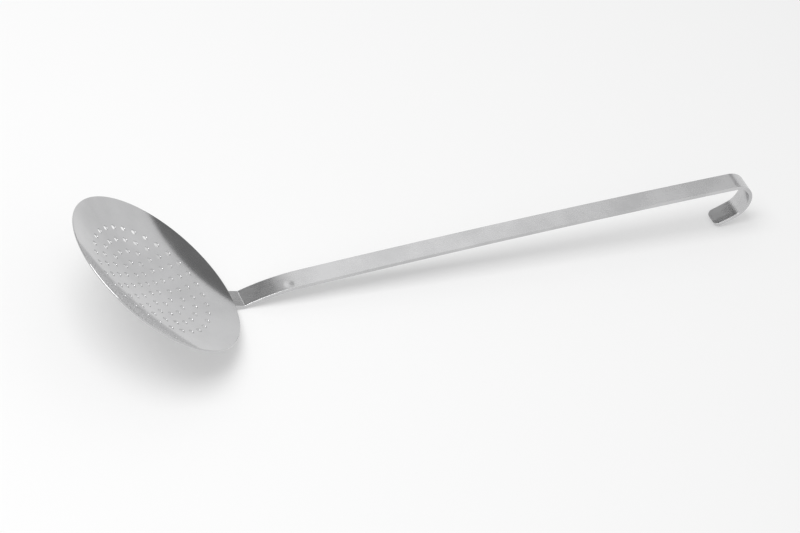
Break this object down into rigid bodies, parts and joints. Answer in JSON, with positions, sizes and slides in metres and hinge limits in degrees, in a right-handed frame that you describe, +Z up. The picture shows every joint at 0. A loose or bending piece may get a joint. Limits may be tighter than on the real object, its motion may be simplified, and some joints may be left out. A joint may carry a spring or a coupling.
{
  "type": "kitchen skimmer",
  "caption": "Kitchen skimmer: shallow round bowl with rings of drain holes, on a long flat strap handle bent at the neck and rolled into a hanging hook.",
  "frame": {"origin": "middle of the overall length and width, on the table plane that the neck and the hook's tip rest on", "axes": "+X along the handle from the bowl to the hook, +Y to the left when looking along +X, +Z up; the bowl is hollow side up"},
  "size_m": [0.5278, 0.14, 0.0803],
  "materials": {
    "bowl_steel": "polished stainless sheet with a soft satin inside",
    "strap_steel": "satin stainless strap, brushed along its length",
    "weld_steel": "fused steel inside the joint"
  },
  "bodies": {
    "root": {"perforated_bowl": "bowl_steel", "strap_handle": "strap_steel", "spot_welds": "weld_steel"}
  },
  "joints": []
}
